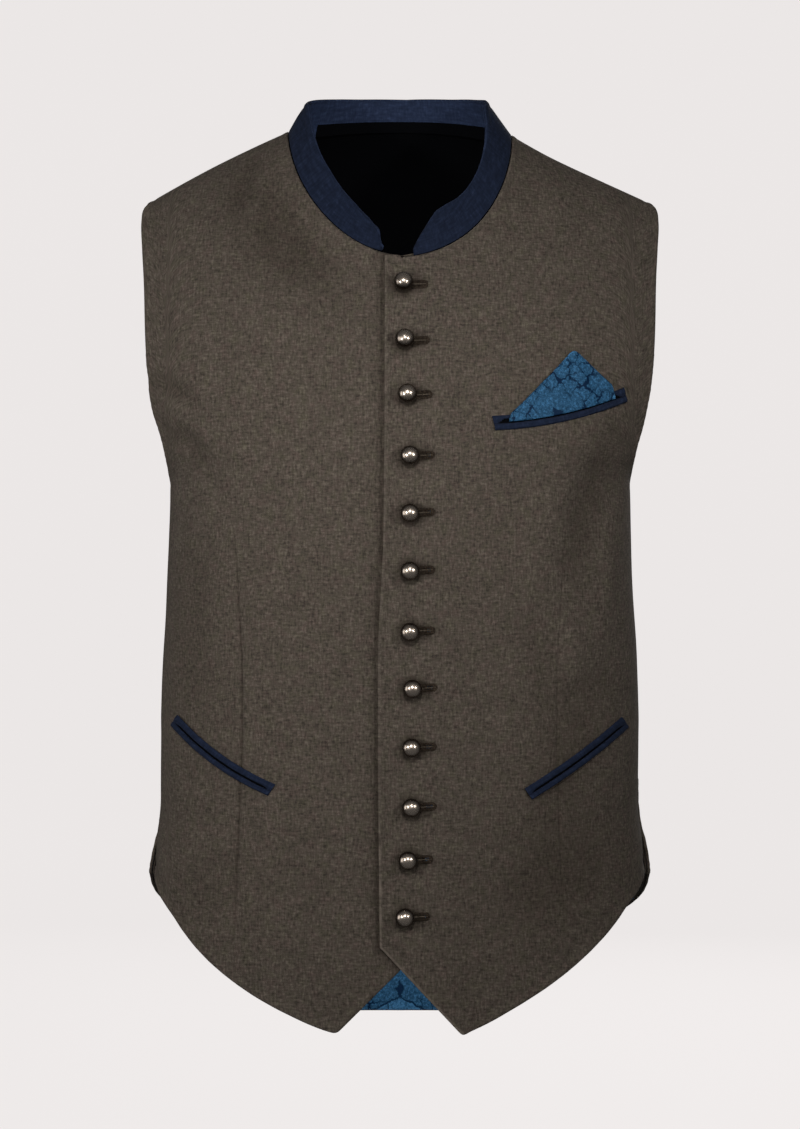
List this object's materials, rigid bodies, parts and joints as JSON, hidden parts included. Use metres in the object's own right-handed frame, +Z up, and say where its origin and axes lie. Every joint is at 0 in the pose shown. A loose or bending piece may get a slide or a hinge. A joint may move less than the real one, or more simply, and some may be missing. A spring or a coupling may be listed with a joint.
{
  "type": "waistcoat",
  "caption": "Filled-out man's wool waistcoat with a stand collar, ball buttons, slanting jetted pockets, a breast pocket and pointed fronts.",
  "frame": {"origin": "midway between the two points where the shoulder seams meet the neck seam, where the wearer's shoulders carry it", "axes": "+X to the wearer's left, +Y to the wearer's back, +Z up"},
  "size_m": [0.388, 0.2573, 0.6975],
  "materials": {
    "wool": "mottled brown wool, matt, slightly slubbed plain weave",
    "linen": "navy linen, matt",
    "lining": "teal patterned satin, soft sheen",
    "thread": "dark brown buttonhole twist",
    "metal": "aged pewter, softly polished"
  },
  "bodies": {
    "root": {"front_under": "wool", "front_over": "wool", "back": "wool", "back_lining": "lining", "collar_outer": "linen", "collar_facing": "linen", "pocket_under_jet_upper": "linen", "pocket_under_jet_lower": "linen", "pocket_over_jet_upper": "linen", "pocket_over_jet_lower": "linen", "breast_welt": "linen", "breast_jet": "linen", "pocket_square": "lining", "button_01": "metal", "button_02": "metal", "button_03": "metal", "button_04": "metal", "button_05": "metal", "button_06": "metal", "button_07": "metal", "button_08": "metal", "button_09": "metal", "button_10": "metal", "button_11": "metal", "button_12": "metal", "buttonhole_01": "thread", "buttonhole_02": "thread", "buttonhole_03": "thread", "buttonhole_04": "thread", "buttonhole_05": "thread", "buttonhole_06": "thread", "buttonhole_07": "thread", "buttonhole_08": "thread", "buttonhole_09": "thread", "buttonhole_10": "thread", "buttonhole_11": "thread", "buttonhole_12": "thread"}
  },
  "joints": []
}
